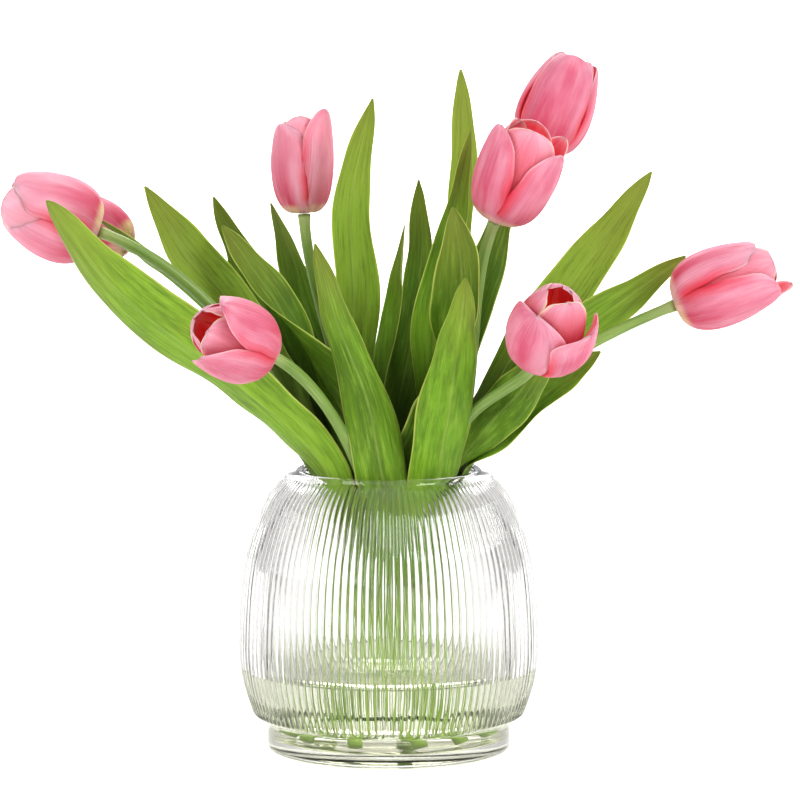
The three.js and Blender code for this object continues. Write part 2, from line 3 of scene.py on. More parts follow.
import bpy
import numpy as np
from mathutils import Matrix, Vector


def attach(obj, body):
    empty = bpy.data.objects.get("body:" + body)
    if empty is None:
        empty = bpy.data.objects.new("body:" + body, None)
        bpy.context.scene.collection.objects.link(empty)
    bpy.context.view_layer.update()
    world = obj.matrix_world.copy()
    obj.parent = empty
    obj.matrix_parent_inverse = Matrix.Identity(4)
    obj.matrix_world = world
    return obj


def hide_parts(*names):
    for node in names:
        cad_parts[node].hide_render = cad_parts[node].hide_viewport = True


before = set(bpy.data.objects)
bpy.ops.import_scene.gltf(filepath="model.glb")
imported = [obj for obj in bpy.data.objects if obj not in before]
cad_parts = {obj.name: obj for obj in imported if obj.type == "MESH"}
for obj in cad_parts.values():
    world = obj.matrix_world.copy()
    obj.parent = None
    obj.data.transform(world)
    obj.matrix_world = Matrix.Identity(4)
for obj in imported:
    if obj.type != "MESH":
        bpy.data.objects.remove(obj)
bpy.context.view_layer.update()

MM = 0.001
FORWARD = np.array([0.0, -1.0, 0.0])
UP = np.array([0.0, 0.0, 1.0])

# Driving sizes in millimetres, as in the solids
VASE_HEIGHT = 160.5
VASE_WALL = 4.5
RIM_RADIUS = 53.0
FOOT_RADIUS = 69.2
FOOT_HEIGHT = 17.0
FOOT_FILLET = 2.7
FLOOR_THICKNESS = 7.0
FOOT_WALL = 6.2
WATER_LEVEL = 49.5
NECK_HEIGHT = 160.0
STEM_RING = 38.5
STEM_RADIUS_AT_FOOT = 3.9
STEM_RADIUS_AT_BLOOM = 3.1
STEM_FOOT_RING = 43.0
STEM_FOOT_HEIGHT = 9.1
CROSSING_ANGLE = 48.0
LEAF_THICKNESS = 0.9
LEAF_SEAT = 4.6
TEPAL_THICKNESS = 0.8
BLOOM_LIFT = 1.0
PISTIL_SHARE = 0.34
BELL = [(77, 20.8), (83.2, 41), (85.2, 66), (81.6, 108), (70.4, 141), (60, 154.8), (RIM_RADIUS, VASE_HEIGHT)]

# Finer forms that only the scene has, in millimetres or as shares
UNDERSIDE = 0.6
RIBS = 120
RIB_DEPTH = 0.9
MEAN_RIB = 0.64
LIP_HEIGHT = 1.8
FLARE_TOP = 32.0
INNER_CORNER = 3.0
AXIS_GAP = 0.01
WATER_SPREAD = 0.12
MENISCUS = 0.9
EDGE_THINNING = 0.65
TIP_THINNING = 0.5
STEM_UNEVENNESS = 0.12
STEM_HEAD_SWELLING = 0.5
LEAF_SWAY = 1.3
LEAF_FRILL = 0.6
LEAF_WAVE = 1.5
LEAF_GROOVE = 0.6
LEAF_RIPPLE = 0.8
LEAF_DENTS = 0.5
TEPAL_GROOVE = 0.25
TEPAL_SWELLING = 0.45
TEPAL_PLEATS = 0.12
TEPAL_MARGIN = 0.7

# How finely the pieces are divided
SPLINE_STEPS = 60
STEM_STEPS = 120
RIB_STEPS = 8
BELL_STEPS = 400
BELL_ROWS = 38
INSIDE_ROWS = 36
WATER_SIDES = 240
STEM_ROWS = 110
STEM_SIDES = 20
LEAF_STEPS = 201
LEAF_ROWS = 90
LEAF_COLUMNS = 20
TEPAL_ROWS = 32
TEPAL_COLUMNS = 24
CUP_SIDES = 24
STYLE_SIDES = 18
STAMEN_SIDES = 8
STAMEN_ROWS = 14

# Each stem: the angle at which it leaves the neck, its top, the way its bloom looks, the ring that
# it passes the neck on, a point that it bends through on its way and how far it bows.
STEMS = {
    "a": dict(neck=-166, top=(-162.7, -14, 296.3), axis=(-52, -4, 19)),
    "b": dict(neck=160, top=(-148.8, 32, 284.6), axis=(-46, 22, 22)),
    "c": dict(neck=115, top=(-48.5, 42, 301.5), axis=(-2, 3, 53), bow=0.6),
    "d": dict(neck=72, top=(85.8, 64, 335.9), axis=(24, 8, 57), ring=45.3),
    "e": dict(neck=30, top=(59.8, -14, 302.5), axis=(23, -10, 56)),
    "f": dict(neck=-10, top=(162, 2, 253.3), axis=(57, -8, 24)),
    "g": dict(neck=-50, top=(82.7, -72, 231.7), axis=(12, -36, 40), ring=36, via=(45, -39, 195)),
    "h": dict(neck=-112, top=(-67.2, -88, 236.4), axis=(-36, -34, 20)),
}
STEM_DEFAULTS = dict(ring=STEM_RING, bow=1.0)

# Each bloom: its length, its width, how far its mouth closes (0 shut, 1 straight), its turn, flare
# where it has a narrower foot than the rest, how pale it is and how strong the painted red shade is on
# the covered parts of its inner tepals. The tepals lie 60 degrees apart, 0, 2 and 4 outside and 1, 3
# and 5 inside, and tepals says what differs on single ones: shares of the length and width, the
# mouth, how far they bow, how pointed they are, and a turn in degrees.
BLOOMS = {
    "a": dict(length=53.5, width=46, mouth=0.42, turn=58, pale=0.3, tepals={
        0: dict(mouth=0.6), 4: dict(length=0.98, mouth=0.5), 5: dict(length=1.05, mouth=0.6)}),
    "b": dict(length=55, width=32, mouth=0.45, turn=60, pale=0.1, tepals={}),
    "c": dict(length=52, width=34, mouth=0.6, flare=1.12, turn=60, pale=0.25, tepals={
        0: dict(length=1.13, width=0.98, mouth=0.95, point=0.62, shift=-4), 2: dict(mouth=0.5),
        4: dict(length=0.98, width=1.08, mouth=0.75, shift=5),
        5: dict(length=1.06, width=1.05, mouth=0.7)}),
    "d": dict(length=57, width=40, mouth=0.5, turn=-6, pale=0.0, tepals={
        0: dict(mouth=0.55, shift=2), 2: dict(mouth=0.6)}),
    "e": dict(length=57, width=41, mouth=0.6, flare=1.18, turn=60, pale=0.05, tepals={
        0: dict(length=0.88, mouth=1.0, bow=1.25), 1: dict(length=0.98, width=0.9, mouth=1.15),
        2: dict(length=1.03, mouth=0.5), 4: dict(length=0.95, mouth=1.0, point=0.6, shift=3),
        5: dict(length=1.03, width=1.3, mouth=0.85)}),
    "f": dict(length=59, width=41, mouth=0.4, turn=42, pale=0.1, tepals={
        0: dict(mouth=0.8), 1: dict(length=1.1, width=0.85, mouth=0.75), 3: dict(mouth=0.5),
        4: dict(length=0.92, mouth=0.7), 5: dict(length=1.04, width=1.1, mouth=0.6)}),
    "g": dict(length=53, width=42, mouth=0.4, turn=-32, pale=0.0, deep=1.7, tepals={
        0: dict(length=0.9, width=1.14, mouth=0.85), 1: dict(length=1.06, width=1.1, mouth=0.42),
        2: dict(length=0.75, width=1.1, mouth=1.1, bow=1.3, point=0.24, shift=-24),
        3: dict(shift=-18, mouth=0.3), 4: dict(mouth=0.25, shift=-24), 5: dict(mouth=0.38)}),
    "h": dict(length=50, width=40, mouth=0.4, turn=57, pale=0.05, tepals={
        0: dict(length=1.04, mouth=0.9, point=0.6), 2: dict(mouth=0.37), 3: dict(mouth=0.32),
        4: dict(mouth=0.95, point=0.6, shift=11), 5: dict(length=1.05, width=1.08, mouth=0.5, shift=-4)}),
}
BLOOM_DEFAULTS = dict(flare=1.36, deep=1.0)
TEPAL_DEFAULTS = dict(shift=0, length=1.0, width=1.0, point=0.5, bow=1.17)
TEPALS = 6
TEPAL_STEP = 360 / TEPALS

# How far out the two kinds of tepal stand, where their middle lines start, their half width as a
# share of the bloom's width, and how far their edges hug the bloom.
OUTER_TEPAL = dict(out=1, start=(4.4, 0), half=0.5, hug=3.0)
INNER_TEPAL = dict(out=-2, start=(3, 1.8), half=0.44, hug=1.0)
LEAST_HALF_WIDTH = 0.4
LEAST_BEND = 4
MOST_SPREAD = 1.02

# Each leaf, named by its stem: the height where it leaves the stem, where it passes the neck, the
# points that it goes through from there, its width and the angle that its hollow side faces. Then
# what differs on single ones: lift off the stem, how its widest part and its point are shaped, how
# far it leans in the neck, how deep it curls at the stem and further up, a turn that it has on the
# way, and whether it lies inside its stem. shade is painted light and shade on the whole leaf, from
# 0, painted dark, to 1, painted pale.
LEAVES = {
    "a_1": dict(root=112, lift=6.5, ring=46, azimuth=-136,
                via=[(-81, -42, 212), (-147, -56, 265), (-189, -60, 318)],
                width=41, face=150, belly=1.0, point=0.65, lean=6, shade=0.6),
    "a_2": dict(root=126, ring=45, azimuth=-172,
                via=[(-60, -16, 183), (-92, -20, 210), (-134, -20, 239)],
                width=28, face=120, lean=10, shade=0.45),
    "b_1": dict(root=110, ring=45.5, azimuth=164,
                via=[(-99, 18, 243), (-137, 16, 278), (-165, 11, 302)],
                width=24, face=120, shade=0.35),
    "b_2": dict(root=116, ring=33, azimuth=168,
                via=[(-82, 15, 243), (-116, 14, 286), (-138, 10, 320)],
                width=34, face=5, shade=0.85),
    "c_1": dict(root=126, ring=45.5, azimuth=107.5,
                via=[(-43, 57, 234), (-56, 62, 276), (-68, 62, 306)],
                width=27, face=-40, shade=0.25),
    "c_2": dict(root=112, ring=33, azimuth=129,
                via=[(-20, 16, 255), (-21, 12, 312), (-9, 6, 370)],
                width=30, face=0, shade=0.78),
    "c_3": dict(root=112, lift=4, ring=45.5, azimuth=136,
                via=[(-68, 38, 241), (-86, 37, 282), (-100, 34, 312)],
                width=29, face=-30, belly=1.2, shade=0.2),
    "d_1": dict(root=110, lift=3, ring=45.5, azimuth=89,
                via=[(1, 48, 222), (5, 52, 257), (9, 54, 294)],
                width=20, face=-60, shade=0.6),
    "d_2": dict(root=118, lift=6, ring=30, azimuth=90,
                via=[(13, 30, 230), (19, 31, 282), (17, 31, 322)],
                width=24, face=-30, gutter=48, shade=0.2),
    "d_3": dict(root=131, ring=40.5, azimuth=74,
                via=[(34, 42, 252), (43, 44, 321), (41, 46, 384)],
                width=18, face=0, curl=30, lean=8, inner=True, point=0.6, shade=0.95),
    "e_1": dict(root=112, ring=33, azimuth=40,
                via=[(26, 8, 250), (38, 6, 307), (46, 0, 352)],
                width=23, face=10, gutter=38, shade=0.55),
    "e_2": dict(root=132, ring=38.6, azimuth=54,
                via=[(45, 27, 242), (62, 31, 293), (75, 34, 330)],
                width=26, face=0, lean=8, shade=0.15),
    "e_3": dict(root=122, lift=7, ring=45, azimuth=41,
                via=[(62, 26, 203), (113, 34, 274), (150, 38, 326)],
                width=29, face=10, belly=1.45, lean=-14, shade=0.95),
    "f_1": dict(root=108, lift=6.5, ring=46.8, azimuth=14.8,
                via=[(69, -2, 205), (115, 9, 242), (169, 24, 279)],
                width=29, face=0, belly=1.15, lean=-12, curl=20, shade=0.6),
    "f_2": dict(root=142, ring=41.5, azimuth=-30,
                via=[(58, -31, 191), (75, -45, 212), (91, -52, 240)],
                width=26, face=170, belly=1.7, lean=-18, turn_by=(0.3, 175), shade=0.25),
    "f_3": dict(root=130, lift=6.4, ring=46.2, azimuth=-14,
                via=[(59, -18, 180), (88, -21, 205), (119, -26, 230)],
                width=24, face=-45, belly=1.6, lean=4, turn_by=(0.3, -35), shade=0.5),
    "g_1": dict(root=112, ring=29.5, azimuth=-52,
                via=[(36, -24, 219), (41, -30, 271), (36, -34, 312)],
                width=46, face=0, gutter=42, belly=0.7, shade=0.2),
    "g_2": dict(root=116, lift=2, ring=45.5, azimuth=-53,
                via=[(34, -56, 204), (38, -58, 237), (43, -50, 274)],
                width=36, face=180, lean=-8, belly=0.58, point=0.7, shade=0.5),
    "h_1": dict(root=100, ring=45.5, azimuth=-94.6,
                via=[(-12, -48, 205), (-29, -46, 250), (-41, -40, 292)],
                width=30, face=180, belly=0.42, point=0.7, shade=0.32),
    "h_2": dict(root=116, ring=30, azimuth=-105,
                via=[(-29, -14, 201), (-65, -2, 257), (-94, 6, 298)],
                width=36, face=20, gutter=42, shade=0.2),
}
LEAF_DEFAULTS = dict(lift=1.2, lean=12, belly=0.85, point=0.75, gutter=28, inner=False)
CURL_OUTSIDE = 40
CURL_INSIDE = 35
CLASP_LENGTH = 14
LEAST_LEAF_HALF = 0.7
# Painted shade on the leaves low in the bunch and behind its front: where it starts and how dark
BUNCH_TOP = 250
BUNCH_FRONT = -32
DEPTH_PAINTED_SHADE = 0.75

# The camera stands where the photograph was taken from, with places in metres
CAMERA_PLACE = (0.0064, -3.0, 0.5715)
CAMERA_DIP = 7.07
CAMERA_SENSOR = 36
CAMERA_LENS = 240.03


# Vectors and curves
def unit(vectors):
    vectors = np.asarray(vectors, float)
    return vectors / np.maximum(np.linalg.norm(vectors, axis=-1, keepdims=True), 1e-12)


def polar(radius, azimuth, height):
    return np.array([radius * cos(radians(azimuth)), radius * sin(radians(azimuth)), height])


def square_to(directions, tangents):
    """The part of each direction that is square to its tangent, at unit length."""
    return unit(directions - tangents * (directions * tangents).sum(-1, keepdims=True))


def shortest_turn(start, end):
    return (end - start + 180) % 360 - 180


def smooth(share):
    share = np.clip(share, 0, 1)
    return share * share * (3 - 2 * share)


def bezier(points, share):
    p0, p1, p2, p3 = (np.asarray(p, float) for p in points)
    s = np.asarray(share)[..., None]
    return (1 - s) ** 3 * p0 + 3 * (1 - s) ** 2 * s * p1 + 3 * (1 - s) * s * s * p2 + s ** 3 * p3


def spaced(line, count):
    """count points evenly along a line of points."""
    lengths = np.r_[0, np.cumsum(np.linalg.norm(np.diff(line, axis=0), axis=1))]
    stops = np.linspace(0, lengths[-1], count)
    return np.stack([np.interp(stops, lengths, line[:, axis]) for axis in range(line.shape[1])], -1)


def spline(points, centripetal=True):
    """A Catmull-Rom curve as many points, the same curve that the solids are drawn with."""
    p = np.asarray(points, float)
    before, after = (2 * p[0] - p[1], 2 * p[-1] - p[-2]) if centripetal else (p[0], p[-1])
    p = np.vstack([before, p, after])
    line = []
    for i in range(1, len(p) - 2):
        p0, p1, p2, p3 = p[i - 1:i + 3]
        s = np.linspace(0, 1, SPLINE_STEPS, endpoint=False)[:, None]
        if centripetal:
            d0, d1, d2 = (np.linalg.norm(b - a) ** 0.5 for a, b in ((p0, p1), (p1, p2), (p2, p3)))
            t1 = ((p1 - p0) / d0 - (p2 - p0) / (d0 + d1) + (p2 - p1) / d1) * d1
            t2 = ((p2 - p1) / d1 - (p3 - p1) / (d1 + d2) + (p3 - p2) / d2) * d1
        else:
            t1 = (p2 - p0) / 2
            t2 = (p3 - p1) / 2
        c2 = -3 * p1 + 3 * p2 - 2 * t1 - t2
        c3 = 2 * p1 - 2 * p2 + t1 + t2
        line.append(p1 + t1 * s + c2 * s ** 2 + c3 * s ** 3)
    line.append(p[-2][None])
    return np.vstack(line)


def tangents_of(line):
    return unit(np.gradient(line, axis=0))


# Meshes
def make_piece(name, vertices, faces, material, uv=None, marks=None):
    """A mesh piece in metres from points in millimetres. marks are numbers for its material."""
    mesh = bpy.data.meshes.new(name)
    mesh.from_pydata((np.asarray(vertices) * MM).tolist(), [], [list(map(int, face)) for face in faces])
    mesh.polygons.foreach_set("use_smooth", [True] * len(mesh.polygons))
    if uv is not None:
        corners = np.zeros(len(mesh.loops), int)
        mesh.loops.foreach_get("vertex_index", corners)
        layer = mesh.uv_layers.new(name="UVMap")
        layer.data.foreach_set("uv", np.asarray(uv, float)[corners].ravel())
    for mark, values in (marks or {}).items():
        attribute = mesh.attributes.new(mark, "FLOAT", "POINT")
        attribute.data.foreach_set("value", np.asarray(values, float).ravel())
    mesh.materials.append(material)
    mesh.update()
    piece = bpy.data.objects.new(name, mesh)
    bpy.context.scene.collection.objects.link(piece)
    return piece


def settle(piece, slot, *nodes):
    """The piece stands for these solids, which it hides, and rides on the root body."""
    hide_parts(*nodes)
    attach(piece, "root")


class Patchwork:
    """Collects grids of points into one mesh, with where each point lies on its blade."""

    def __init__(self):
        self.vertices = []
        self.faces = []
        self.uv = []
        self.marks = {}
        self.count = 0

    def add(self, vertices, faces, uv, **marks):
        self.vertices.append(vertices)
        self.faces.extend([[corner + self.count for corner in face] for face in faces])
        self.uv.append(uv)
        for mark, values in marks.items():
            self.marks.setdefault(mark, []).append(np.broadcast_to(values, len(vertices)))
        self.count += len(vertices)

    def piece(self, name, material):
        marks = {mark: np.concatenate(values) for mark, values in self.marks.items()}
        return make_piece(name, np.vstack(self.vertices), self.faces, material, np.vstack(self.uv), marks)


def blade(patchwork, middle, thickness, **marks):
    """A closed thin blade round a grid of points, thinner at its edges and its tip. The mark inside
    is 1 on its hollow face."""
    rows, columns = middle.shape[:2]
    normal = unit(np.cross(np.gradient(middle, axis=0), np.gradient(middle, axis=1)))
    across = np.linspace(-1, 1, columns)[None, :, None]
    along = np.linspace(0, 1, rows)[:, None, None]
    half = thickness / 2 * (1 - EDGE_THINNING * np.abs(across) ** 6) * (1 - TIP_THINNING * along ** 8)
    front = (middle + normal * half).reshape(-1, 3)
    back = (middle - normal * half).reshape(-1, 3)
    grid = np.arange(rows * columns).reshape(rows, columns)
    quads = np.stack([grid[:-1, :-1], grid[1:, :-1], grid[1:, 1:], grid[:-1, 1:]], -1).reshape(-1, 4)
    edge = np.concatenate([grid[0, :], grid[1:, -1], grid[-1, -2::-1], grid[-2:0:-1, 0]])
    after = np.roll(edge, -1)
    size = rows * columns
    wall = np.stack([edge, after, after + size, edge + size], -1)
    faces = np.vstack([quads, quads[:, ::-1] + size, wall])
    place = np.stack(np.meshgrid(np.linspace(0, 1, columns), np.linspace(0, 1, rows)), -1).reshape(-1, 2)
    inside = np.r_[np.ones(size), np.zeros(size)]
    inside[edge] = 0
    patchwork.add(np.vstack([front, back]), faces, np.vstack([place, place]), inside=inside, **marks)


def outline_share(share, base, belly, point):
    """A blade's half width along its length, as a share of its greatest. base says how wide it
    starts, and belly and point how it widens and narrows."""
    widest = (belly - base * point) / (belly + point)
    shape = (share + base) ** belly * (1 - share) ** point
    greatest = (widest + base) ** belly * (1 - widest) ** point
    return shape / greatest


def band(row, sides):
    """The quads between a ring of points and the next one."""
    steps = [(side, (side + 1) % sides) for side in range(sides)]
    below = row * sides
    above = below + sides
    return [(below + step, below + after, above + after, above + step) for step, after in steps]


def lathe(profile, sides, ribs=None):
    """An outline turned round the upright axis, from one end beside the axis to the other. ribs
    gives the depth of the ribs at each outline point, and they leave the wall as thick as it is on
    the whole. Also returns how deep in a groove each point is."""
    profile = np.asarray(profile, float)
    rows = len(profile)
    angle = np.arange(sides) * 2 * pi / sides
    radius = np.repeat(profile[:, 0][:, None], sides, 1)
    groove = np.zeros(radius.shape)
    if ribs is not None:
        crest = np.abs(np.cos(angle * RIBS / 2))[None, :]
        radius = radius + np.asarray(ribs)[:, None] * (crest - MEAN_RIB)
        groove = np.asarray(ribs)[:, None] / RIB_DEPTH * (1 - crest) ** 2
    height = np.repeat(profile[:, 1][:, None], sides, 1)
    vertices = np.stack([radius * np.cos(angle), radius * np.sin(angle), height], -1).reshape(-1, 3)
    faces = [face for row in range(rows - 1) for face in band(row, sides)]
    return vertices, faces, groove.ravel()


def tube(line, radius, sides):
    """Rings round a line, with a cap at each end. Returns points, faces and places on the tube."""
    tangent = tangents_of(line)
    first = square_to(FORWARD * np.ones((len(line), 1)), tangent)
    second = np.cross(tangent, first)
    angle = np.arange(sides) * 2 * pi / sides
    ring = np.cos(angle)[None, :, None] * first[:, None] + np.sin(angle)[None, :, None] * second[:, None]
    vertices = (line[:, None] + radius[:, None, None] * ring).reshape(-1, 3)
    last = len(line) - 1
    faces = [face for row in range(last) for face in band(row, sides)]
    faces.append(list(range(sides))[::-1])
    faces.append([last * sides + side for side in range(sides)])
    around, along = np.meshgrid(np.abs(np.linspace(-1, 1, sides)), np.linspace(0, 1, len(line)))
    return vertices, faces, np.stack([around, along], -1).reshape(-1, 2)


# Node materials, and how far apart in the noise the seeds of two blades lie
SEED_SPREAD = 7.3


class Shader:
    """A procedural material built round one Principled shader."""

    def __init__(self, name, **settings):
        self.material = bpy.data.materials.new(name)
        self.material.use_nodes = True
        self.tree = self.material.node_tree
        self.bsdf = self.tree.nodes["Principled BSDF"]
        for socket, value in settings.items():
            self.shade(socket.replace("_", " "), value)

    def node(self, kind, inputs=(), **settings):
        node = self.tree.nodes.new(kind)
        for key, value in settings.items():
            setattr(node, key, value)
        for key, value in dict(inputs).items():
            self.feed(node.inputs[key], value)
        return node

    def feed(self, socket, value):
        if isinstance(value, bpy.types.NodeSocket):
            self.tree.links.new(value, socket)
        else:
            socket.default_value = value

    def shade(self, socket, value):
        self.feed(self.bsdf.inputs[socket], value)

    def maths(self, operation, a, b=0.0):
        return self.node("ShaderNodeMath", {0: a, 1: b}, operation=operation).outputs[0]

    def times(self, a, b):
        return self.maths("MULTIPLY", a, b)

    def mark(self, name):
        return self.node("ShaderNodeAttribute", attribute_name=name).outputs["Fac"]

    def ramp(self, value, stops):
        node = self.node("ShaderNodeValToRGB", {"Fac": value})
        node.color_ramp.interpolation = "EASE"
        while len(node.color_ramp.elements) < len(stops):
            node.color_ramp.elements.new(0.5)
        for element, (position, colour) in zip(node.color_ramp.elements, stops):
            element.position = position
            element.color = (*colour, 1)
        return node.outputs["Color"]

    def level(self, value, low, high, out_low=0.0, out_high=1.0):
        inputs = {"Value": value, "From Min": low, "From Max": high, "To Min": out_low, "To Max": out_high}
        return self.node("ShaderNodeMapRange", inputs, clamp=True).outputs["Result"]

    def mix(self, share, first, second):
        node = self.node("ShaderNodeMix", data_type="RGBA", blend_type="MIX")
        self.feed(node.inputs["Factor"], share)
        self.feed(node.inputs["A"], first if isinstance(first, bpy.types.NodeSocket) else (*first, 1))
        self.feed(node.inputs["B"], second if isinstance(second, bpy.types.NodeSocket) else (*second, 1))
        return node.outputs["Result"]

    def over(self, colour, paint, value, bare, full, most):
        """The colour under some paint: none where value is at bare, and most where it is at full."""
        return self.mix(self.level(value, bare, full, 0, most), colour, paint)

    def across_and_along(self):
        """Where the point lies on its blade, from 0 to 1 each way."""
        uv = self.node("ShaderNodeUVMap", uv_map="UVMap").outputs["UV"]
        split = self.node("ShaderNodeSeparateXYZ", {0: uv})
        return split.outputs[0], split.outputs[1]

    def inward(self):
        """0 at a blade's side edges and 1 along its middle."""
        off = self.maths("ABSOLUTE", self.maths("SUBTRACT", self.across_and_along()[0], 0.5))
        return self.maths("SUBTRACT", 1.0, self.times(off, 2.0))

    def grain(self, across, along, detail, roughness=0.5, scale=1.0):
        """Noise with this many waves across and along a blade, different on each blade."""
        place = self.across_and_along()
        joined = self.node("ShaderNodeCombineXYZ", {
            0: self.times(place[0], across),
            1: self.times(place[1], along),
            2: self.times(self.mark("seed"), SEED_SPREAD),
        })
        return self.noise(joined.outputs[0], scale, detail, roughness)

    def noise(self, vector, scale, detail, roughness=0.5):
        inputs = {"Vector": vector, "Scale": scale, "Detail": detail, "Roughness": roughness}
        return self.node("ShaderNodeTexNoise", inputs).outputs["Fac"]

    def bump(self, height, distance, strength):
        inputs = {"Height": height, "Distance": distance, "Strength": strength}
        self.shade("Normal", self.node("ShaderNodeBump", inputs).outputs["Normal"])


def leaf_material():
    """Parallel veins, a pale midrib, thin yellow-green edges, an olive tip and a darker hollow face,
    partly its own green and partly painted shade. Pale leaves get painted light and dark ones painted
    shade by their shade mark, and painted shade darkens all of them down in the bunch."""
    shader = Shader("tulip leaf", Roughness=0.45, Specular_IOR_Level=0.3, Subsurface_Weight=0.1,
                    Subsurface_Scale=0.002, Subsurface_Radius=(0.6, 1.0, 0.2))
    fresh = (0.235, 0.42, 0.024)
    dusky = (0.080, 0.150, 0.010)
    sunlit = (0.40, 0.51, 0.075)
    shaded = (0.050, 0.085, 0.010)
    dark_spots = (0.075, 0.150, 0.008)
    light_spots = (0.32, 0.49, 0.065)
    hollow = (0.055, 0.125, 0.008)
    olive = (0.25, 0.25, 0.045)
    midrib = (0.36, 0.46, 0.13)
    margin = (0.50, 0.55, 0.13)
    painted_shade_low = (0.018, 0.036, 0.004)
    inward = shader.inward()
    along = shader.across_and_along()[1]
    shade = shader.mark("shade")
    veins = shader.grain(75, 1.6, detail=5, roughness=0.65)
    broad = shader.grain(7, 2.2, detail=3)
    patches = shader.grain(2.5, 5, detail=4, roughness=0.6)
    mottle = shader.grain(16, 9, detail=5, roughness=0.7)
    colour = shader.ramp(veins, [(0.3, (0.105, 0.235, 0.009)), (0.5, (0.170, 0.345, 0.015)),
                                 (0.7, (0.260, 0.430, 0.034))])
    colour = shader.over(colour, fresh, broad, 0.4, 0.7, 0.6)
    colour = shader.over(colour, dusky, patches, 0.45, 0.70, 0.75)
    # Painted light on pale leaves and painted shade on dark ones, as each leaf's shade mark says
    colour = shader.over(colour, sunlit, shade, 0.5, 1.0, 0.75)
    colour = shader.over(colour, shaded, shade, 0.5, 0.0, 0.75)
    colour = shader.over(colour, dark_spots, mottle, 0.5, 0.68, 0.6)
    colour = shader.over(colour, light_spots, mottle, 0.49, 0.34, 0.5)
    # The hollow face is darker: partly its own deeper green, partly painted shade
    colour = shader.mix(shader.times(shader.mark("inside"), 0.2), colour, hollow)
    colour = shader.over(colour, olive, along, 0.72, 1.0, 0.6)
    colour = shader.over(colour, midrib, inward, 0.93, 1.0, 0.3)
    colour = shader.over(colour, margin, inward, 0.06, 0.02, 0.85)
    # Painted shade down and at the back of the bunch, from the mark depth
    colour = shader.mix(shader.mark("depth"), colour, painted_shade_low)
    shader.shade("Base Color", colour)
    shader.shade("Roughness", shader.level(veins, 0.3, 0.7, 0.4, 0.55))
    shader.bump(shader.maths("ADD", veins, shader.maths("ADD", broad, mottle)), 0.0007, 0.8)
    return shader.material


def tepal_outside(shader, inward, along, streaks, broad, seam_shade_and_glow):
    """Fine streaks from a cream base, deeper low down and paler at the edges. Inner tepals get a painted
    red shade where the outer ones cover them, and have cream margins. The seams between the tepals get
    painted red shade too."""
    pale_edge = (0.73, 0.38, 0.46)
    deep_pink = (0.50, 0.070, 0.145)
    pale_pink = (0.75, 0.38, 0.46)
    blush_pink = (0.50, 0.075, 0.145)
    covered_shade_red = (0.50, 0.030, 0.060)
    palest = (0.84, 0.52, 0.58)
    seam_shade_red = (0.60, 0.022, 0.055)
    rim_pink = (0.86, 0.52, 0.54)
    cream = (0.88, 0.66, 0.50)
    inner = shader.mark("inner")
    blush = shader.grain(2.2, 2.6, detail=2)
    colour = shader.ramp(along, [
        (0.0, (0.46, 0.50, 0.14)), (0.11, (0.72, 0.58, 0.28)), (0.17, (0.53, 0.045, 0.100)),
        (0.45, (0.60, 0.150, 0.230)), (0.8, (0.65, 0.265, 0.350)), (1.0, (0.74, 0.42, 0.48)),
    ])
    colour = shader.over(colour, pale_edge, inward, 0.6, 0.0, 0.6)
    colour = shader.over(colour, deep_pink, streaks, 0.38, 0.70, 0.6)
    colour = shader.over(colour, pale_pink, broad, 0.42, 0.68, 0.65)
    colour = shader.over(colour, blush_pink, blush, 0.5, 0.72, 0.6)
    # Painted red shade on the inner tepals where the outer ones cover them
    covered_shade = shader.times(inner, shader.level(along, 0.8, 0.4, 0, 0.85))
    colour = shader.mix(covered_shade, colour, covered_shade_red)
    paler = shader.times(shader.mark("pale"), shader.level(along, 0.15, 0.5))
    colour = shader.mix(paler, colour, palest)
    # Painted red shade along the seams between the tepals
    colour = shader.mix(seam_shade_and_glow, colour, seam_shade_red)
    rim = shader.times(shader.level(inward, 0.06, 0.02), shader.level(along, 0.4, 0.7, 0, 0.7))
    colour = shader.mix(rim, colour, rim_pink)
    creamy = shader.times(shader.level(inward, 0.2, 0.04), shader.level(along, 0.5, 0.8, 0, 0.6))
    return shader.mix(shader.times(creamy, inner), colour, cream)


def tepal_inside(shader, inward, along, streaks):
    """Coral from an orange base, with darker streaks and pale edges."""
    streak_red = (0.58, 0.025, 0.055)
    pale_edge = (0.88, 0.56, 0.52)
    colour = shader.ramp(along, [
        (0.0, (0.85, 0.45, 0.06)), (0.25, (0.80, 0.09, 0.07)), (0.5, (0.80, 0.08, 0.11)),
        (0.72, (0.82, 0.22, 0.27)), (0.9, (0.82, 0.46, 0.48)),
    ])
    colour = shader.over(colour, streak_red, streaks, 0.4, 0.7, 0.5)
    return shader.over(colour, pale_edge, inward, 0.3, 0.0, 0.85)


